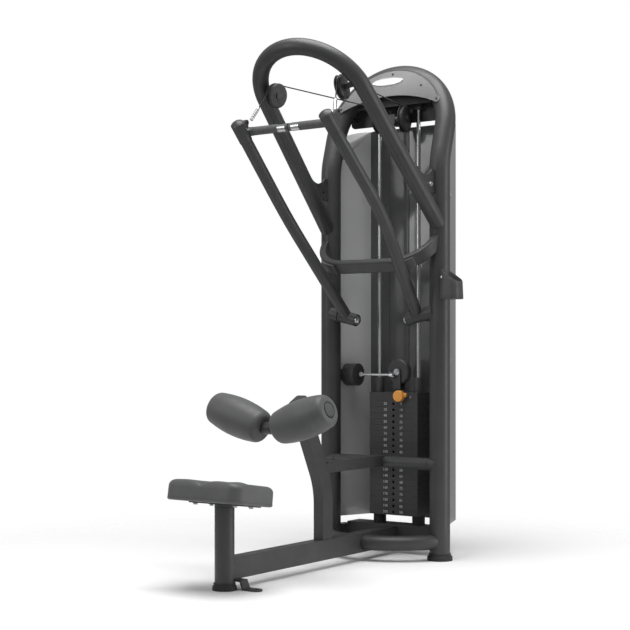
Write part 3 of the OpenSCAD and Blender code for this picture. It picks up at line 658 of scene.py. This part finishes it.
def cable_points(node, count):
    """Points along the middle of a straight cable node, from its lower end to its upper end."""
    mesh = nodes[node].data
    spots = [v.co.copy() for v in mesh.vertices]
    low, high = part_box(node)
    axis = max(range(3), key=lambda i: high[i] - low[i])
    spots.sort(key=lambda p: p[axis])
    half = len(spots) // 2
    ends = [sum(part, Vector()) / len(part) for part in (spots[:half], spots[half:])]
    return [ends[0].lerp(ends[1], k / (count - 1)) for k in range(count)]


def arm_cable(name, node, body):
    """The cable from the handle's fitting up to its loop pulley, with a ferrule at its arm end that moves
    with the arm.
    """
    points = cable_points(node, 48)
    piece = finish_piece(tube(name, points, CABLE_R * MM), "cable_black")
    arm_end, pulley_end = sorted((points[0], points[-1]), key=lambda p: p.z)
    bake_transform(piece)
    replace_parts(piece, node)
    ferrule = lathe(
        name + "_ferrule", [(TINY_R, -9), (4.2, -9), (4.6, -8), (4.6, 7), (3.6, 9), (TINY_R, 9)],
        arm_end, pulley_end - arm_end, sides=24)
    finish_piece(ferrule, "chrome", body)


def lift_cables():
    """The two strands down to the moving pulley, as straight tubes of a fixed length."""
    low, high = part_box("lift_cables")
    strand_x = high.x - CABLE_R * MM
    middle_y = (low.y + high.y) / 2
    steps = 40
    heights = [low.z + (high.z - low.z) * k / steps for k in range(steps + 1)]
    strands = [
        tube("strand", [Vector((x, middle_y, z)) for z in heights], CABLE_R * MM)
        for x in (-strand_x, strand_x)]
    piece = finish_piece(joined("lift_strands", strands), "cable_black", "root")
    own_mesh(piece)
    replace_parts(piece, "lift_cables")


# ---------------------------------------------------------------- trim


def number(text, x, z, height):
    """Thin raised digits on the front of the stack, as a mesh."""
    curve = bpy.data.curves.new("number", "FONT")
    curve.body = text
    curve.size = height * MM
    curve.align_x = "CENTER"
    curve.align_y = "CENTER"
    curve.resolution_u = 3
    curve.extrude = 0.00012
    curve.space_character = 1.06
    obj = bpy.data.objects.new("number", curve)
    bpy.context.scene.collection.objects.link(obj)
    stand_up = Matrix.Rotation(math.pi / 2, 4, "X")
    obj.matrix_world = Matrix.Translation(metres(x, PLATE_FRONT - PRINT_PROUD, z)) @ stand_up
    bpy.context.view_layer.update()
    mesh = bpy.data.meshes.new_from_object(obj)
    mesh.transform(obj.matrix_world)
    bpy.data.objects.remove(obj)
    result = bpy.data.objects.new("number", mesh)
    bpy.context.scene.collection.objects.link(result)
    return result


def plate_numbers():
    """Plain counts on the plates, in two columns beside the row of pin holes."""
    left_x, right_x, digit_height = -40, 38, 15.5
    texts = []
    for i in range(PLATE_COUNT):
        z = STACK_BOTTOM + (i + 0.5) * PLATE_PITCH
        count = 10 * (PLATE_COUNT + 1 - i)
        texts.append(number(str(count), left_x, z, digit_height))
        texts.append(number(str(round(count * POUNDS_TO_KILOS)), right_x, z, digit_height))
    finish_piece(joined("plate_numbers", texts), "number_print", "root")
    head = [number("5", 84, HEAD_PLATE_Z, 13.5)]
    finish_piece(joined("head_number", head), "number_print", "stack")


def socket_screw(name, centre, direction, radius, height, slot="bolt_steel"):
    """Domed screw head with a round socket."""
    profile = [(TINY_R, 0), (radius, 0), (radius, height * 0.35)]
    profile += [
        (radius * math.cos(a), height * 0.35 + height * 0.65 * math.sin(a))
        for a in (math.pi / 2 * k / 6 for k in range(1, 5))]
    profile += [(radius * 0.42, height * 0.96), (radius * 0.4, height * 0.3), (TINY_R, height * 0.3)]
    finish_piece(lathe(name, profile, centre, direction, sides=24), slot, "root")


def header_point(x, s):
    """A point on the header's face: x across, s up the slope from the bend."""
    sin, cos = math.sin(HEADER_LEAN), math.cos(HEADER_LEAN)
    return metres(x, TOWER_Y + s * sin - HEADER_FACE * cos, HEADER_KINK_Z + s * cos + HEADER_FACE * sin)


def header_out():
    """The direction that the header's face looks in."""
    return Vector((0, -math.cos(HEADER_LEAN), math.sin(HEADER_LEAN)))


def header_screws():
    """Five small screws, each at its place across and up the header."""
    spots = [(-150, 325), (150, 325), (-235, 254.8), (235, 254.8), (0, 392)]
    for i, (x, s) in enumerate(spots):
        socket_screw(f"header_screw_{i + 1}", header_point(x, s), header_out(), radius=5, height=2.6,
                     slot="sleeve_plastic")


def badge_rim():
    """Thin raised rim on the plain oval badge."""
    centre_x, centre_s, half_long, half_short = -20, 360, 73.6, 16.2
    lift, half_wide, half_tall = 1.7, 1.3, 1.1
    steps, sides = 96, 8
    out = header_out()
    rings = []
    for i in range(steps):
        a = 2 * math.pi * i / steps
        middle = header_point(centre_x + half_long * math.cos(a), centre_s + half_short * math.sin(a))
        middle += out * lift * MM
        away = (header_point(math.cos(a), math.sin(a)) - header_point(0, 0)).normalized()
        rings.append([
            middle + away * half_wide * MM * math.cos(b) + out * half_tall * MM * math.sin(b)
            for b in (2 * math.pi * k / sides for k in range(sides))])
    finish_piece(lofted("badge_rim", rings, closed_rings=True), "bolt_steel", "root")


def arm_beads():
    """A rounded bead round each arm's tip, and one where its handle sleeve ends."""
    for side, label, body in ((-1, "left", "arm_left"), (1, "right", "arm_right")):
        tip = metres(side * ARM_TIP[0], ARM_TIP[1], ARM_TIP[2])
        knee = metres(side * ARM_KNEE[0], ARM_KNEE[1], ARM_KNEE[2])
        down = (knee - tip).normalized()
        torus(f"{label}_sleeve_bead", tip + down * 82 * MM, down, 24.4, 1.5, "frame_paint", body)
        torus(f"{label}_tip_bead", tip - down * 0.4 * MM, down, 25.4, 0.9, "frame_paint", body)


def knob_trim():
    """The small release lug on the knob's side, and the recess ring in its face."""
    low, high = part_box("selector_pin")
    middle = Vector(((low.x + high.x) / 2, low.y, (low.z + high.z) / 2))
    lug_r, lug_long = 9, 13
    lug = lathe(
        "knob_lug", [(TINY_R, 0), (lug_r, 0)] + arc_profile(lug_r, lug_long, 3) + [(TINY_R, lug_long)],
        middle + metres(26, 22, 4), Vector((0, -1, 0)), sides=32)
    finish_piece(lug, "knob_orange", "pin")
    torus("knob_ring", middle + metres(0, 0.3, 0), Vector((0, 1, 0)), 13, 1.0, "knob_orange", "pin")


def weld_beads():
    """Beads where the seat post, the uprights and the crossbar meet what they are welded to."""
    low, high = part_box("seat_post")
    radius = (high.x - low.x) / 2 / MM
    centre = (low + high) / 2
    up = Vector((0, 0, 1))
    beads = (("seat_post_bead", 0.0262, 0.4, 1.8), ("seat_post_top_bead", 0.295, 0.2, 1.2))
    for name, height, proud, thick in beads:
        torus(name, Vector((centre.x, centre.y, height)), up, radius + proud, thick, "frame_paint")
    bar_low, bar_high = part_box("stack_crossbar")
    bar_y, bar_z = bar_high.y - 0.025, (bar_low.z + bar_high.z) / 2
    for side, name in ((-1, "left"), (1, "right")):
        foot = metres(side * UPRIGHT_X, TOWER_Y, 28.6)
        torus(f"{name}_upright_bead", foot, up, 42.4, 1.6, "frame_paint")
        mouth = Vector((side * 0.2285, bar_y, bar_z))
        torus(f"{name}_crossbar_bead", mouth, Vector((1, 0, 0)), 25.6, 1.9, "frame_paint")


def stop_pads():
    """Rubber strips moulded to the outside of the stop bar's bends, where the arms come to rest."""
    bend, outer, half_tall, thick = 150, 165, 24, 7
    first, sweep, steps = 11, 27, 24
    place = Matrix.Translation(metres(*STOP_BAR)) @ Matrix.Rotation(STOP_BAR_TILT, 4, "X")
    pads = []
    for side in (-1, 1):
        rings = []
        for k in range(steps + 1):
            share = k / steps
            angle = math.radians(first + sweep * share)
            out = thick * min(1, 5 * math.sin(math.pi * share) + 0.12)
            section = rounded_rectangle(out / 2 + 1, half_tall, min(3.2, out / 2), 4, 4)
            reaches = [(outer + out / 2 + x, y) for x, y in section]
            rings.append([
                place @ metres(
                    side * (STOP_BEND_X + math.sin(angle) * reach), bend - math.cos(angle) * reach, y)
                for reach, y in reaches])
        pads.append(lofted("pad", rings))
    piece = finish_piece(joined("stop_strips", pads), "stop_rubber", "root")
    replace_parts(piece, "stop_pads")


def bottle_holder():
    """Round cornered cup whose rim falls away from the upright, on a screwed bracket."""
    low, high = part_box("bottle_holder")
    half, wall, corner, taper = 42.5, 3.2, 30, 0.07
    middle_x = high.x / MM - half
    bottom, top = low.z / MM, high.z / MM
    fall = math.tan(math.radians(34))

    def ring(inset, share, floor):
        """The cup's outline, inset, at a share of the way up from floor to its sloping rim."""
        size = half - inset
        points = []
        for x, y in rounded_rectangle(size, size, corner - inset, 10, 8):
            x, y = x * (1 - taper * share), y * (1 - taper * share)
            rim = top - max(0, x + half - 6) * fall
            points.append(metres(middle_x + x, BOTTLE_Y + y, floor + (rim - floor) * share))
        return points

    rings = [ring(9, 0, bottom), ring(3, 0, bottom), ring(0.6, 0.01, bottom + 1)]
    rings += [ring(0, share, bottom) for share in (0.04, 0.25, 0.5, 0.75, 0.97)]
    rings += [ring(wall / 2, 1.005, bottom)]
    rings += [ring(wall, share, bottom + wall) for share in (0.97, 0.6, 0.3, 0.05, 0.01)]
    cup = lofted("bottle_cup", rings)
    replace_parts(finish_piece(cup, "sleeve_plastic", "root"), "bottle_holder")
    bracket_y, bracket_z = BOTTLE_Y + 26, bottom + 50
    bracket_ends = (low.x / MM + 6, middle_x - 40.5)
    bracket = lofted("bottle_bracket", [
        [metres(x, bracket_y + y, bracket_z + z) for y, z in rounded_rectangle(7, 30, 4, 4, 4)]
        for x in bracket_ends])
    finish_piece(bracket, "frame_paint", "root")
    face = metres(middle_x - half * 0.55, BOTTLE_Y - half * 0.975, top - 34)
    socket_screw("bottle_screw", face, Vector((0, -1, 0)), radius=5, height=3)


def header_liner():
    """Dark plate that closes the arch behind the header, down to the cross plate."""
    inner_r, middle_s, bottom_s, steps = 224, 137, 262, 40
    start = math.asin((bottom_s - middle_s) / inner_r)
    angles = [start + (math.pi - 2 * start) * k / steps for k in range(steps + 1)]
    rings = []
    for depth in (38, 41):
        rings.append([
            header_point(inner_r * math.cos(a), middle_s + inner_r * math.sin(a)) - header_out() * depth * MM
            for a in angles])
    finish_piece(lofted("header_liner", rings), "sleeve_plastic", "root")


# ---------------------------------------------------------------- studio


def camera():
    """A long lens at hip height, from the machine's front right."""
    data = bpy.data.cameras.new("camera")
    data.sensor_width = 36
    data.lens = 79.73
    data.shift_y = 0.0615
    data.clip_end = 100
    obj = bpy.data.objects.new("camera", data)
    obj.location = (3.1128, -3.8767, 0.8396)
    obj.rotation_euler = (math.radians(90), 0, math.radians(35.054))
    bpy.context.scene.collection.objects.link(obj)
    bpy.context.scene.camera = obj


def area_light(name, place, target, size, power, roll=0.0):
    """A soft panel at place that faces target and that the camera doesn't see."""
    data = bpy.data.lights.new(name, "AREA")
    data.shape = "RECTANGLE"
    data.size, data.size_y = size
    data.energy = power
    obj = bpy.data.objects.new(name, data)
    obj.location = place
    aim = (Vector(target) - Vector(place)).to_track_quat("-Z", "Y").to_matrix()
    obj.rotation_euler = (aim @ Matrix.Rotation(math.radians(roll), 3, "Z")).to_euler()
    obj.visible_camera = False
    bpy.context.scene.collection.objects.link(obj)


def studio():
    """White surroundings, a pale floor, and panels above, in front and at the tower's side."""
    scene = bpy.context.scene
    scene.view_settings.view_transform = "Standard"
    scene.world = white_world(0.36)
    reach = 30
    corners = [(-reach, -reach, 0), (reach, -reach, 0), (reach, reach, 0), (-reach, reach, 0)]
    floor = mesh_object("floor", corners, [(0, 1, 2, 3)])
    floor.data.materials.append(floor_paint())
    area_light("overhead", (0.3, 0.2, 4.2), (0, 0.6, 0.8), (2.6, 2.6), 150)
    area_light("front_left", (-2.2, -3.4, 2.6), (0, 0.6, 0.9), (1.2, 2.4), 34)
    for z in (0.2, 1.25, 2.3):
        area_light(f"side_{z}", (3.6, 2.1, z), (-0.25, 1.15, z), (1.7, 0.62), 17, roll=38)


def white_world(strength):
    """White behind the object, and a softer white that lights it."""
    world = bpy.data.worlds.new("studio")
    world.use_nodes = True
    tree = world.node_tree
    seen = tree.nodes["Background"]
    seen.inputs["Color"].default_value = (1, 1, 1, 1)
    lit = tree.nodes.new("ShaderNodeBackground")
    lit.inputs["Color"].default_value = (1, 1, 1, 1)
    lit.inputs["Strength"].default_value = strength
    ray = tree.nodes.new("ShaderNodeLightPath")
    mix = tree.nodes.new("ShaderNodeMixShader")
    tree.links.new(ray.outputs["Is Camera Ray"], mix.inputs["Fac"])
    tree.links.new(lit.outputs["Background"], mix.inputs[1])
    tree.links.new(seen.outputs["Background"], mix.inputs[2])
    tree.links.new(mix.outputs["Shader"], tree.nodes["World Output"].inputs["Surface"])
    return world


def floor_paint():
    """Pale matte floor that fades out to the white behind it."""
    paint = bpy.data.materials.new("floor")
    paint.use_nodes = True
    tree = paint.node_tree
    shader = tree.nodes["Principled BSDF"]
    shader.inputs["Base Color"].default_value = (0.95, 0.95, 0.95, 1)
    shader.inputs["Roughness"].default_value = 0.9
    shader.inputs["Specular IOR Level"].default_value = 0.0
    place = tree.nodes.new("ShaderNodeNewGeometry")
    away = tree.nodes.new("ShaderNodeVectorMath")
    away.operation = "DISTANCE"
    away.inputs[1].default_value = FLOOR_MIDDLE
    fade = tree.nodes.new("ShaderNodeMapRange")
    fade.interpolation_type = "SMOOTHSTEP"
    fade.inputs["From Min"].default_value = FLOOR_FADE[0]
    fade.inputs["From Max"].default_value = FLOOR_FADE[1]
    clear = tree.nodes.new("ShaderNodeBsdfTransparent")
    mix = tree.nodes.new("ShaderNodeMixShader")
    tree.links.new(place.outputs["Position"], away.inputs[0])
    tree.links.new(away.outputs["Value"], fade.inputs["Value"])
    tree.links.new(fade.outputs["Result"], mix.inputs["Fac"])
    tree.links.new(shader.outputs["BSDF"], mix.inputs[1])
    tree.links.new(clear.outputs["BSDF"], mix.inputs[2])
    tree.links.new(mix.outputs["Shader"], tree.nodes["Material Output"].inputs["Surface"])
    return paint


dress_cad_nodes()
seat_pad()
roller(-1, "left_roller_pad", "left_roller", "roller_left")
roller(1, "right_roller_pad", "right_roller", "roller_right")
arm_cable("left_arm_cable_strand", "left_arm_cable", "arm_left")
arm_cable("right_arm_cable_strand", "right_arm_cable", "arm_right")
lift_cables()
plate_numbers()
header_screws()
badge_rim()
arm_beads()
knob_trim()
weld_beads()
header_liner()
stop_pads()
bottle_holder()
camera()
studio()
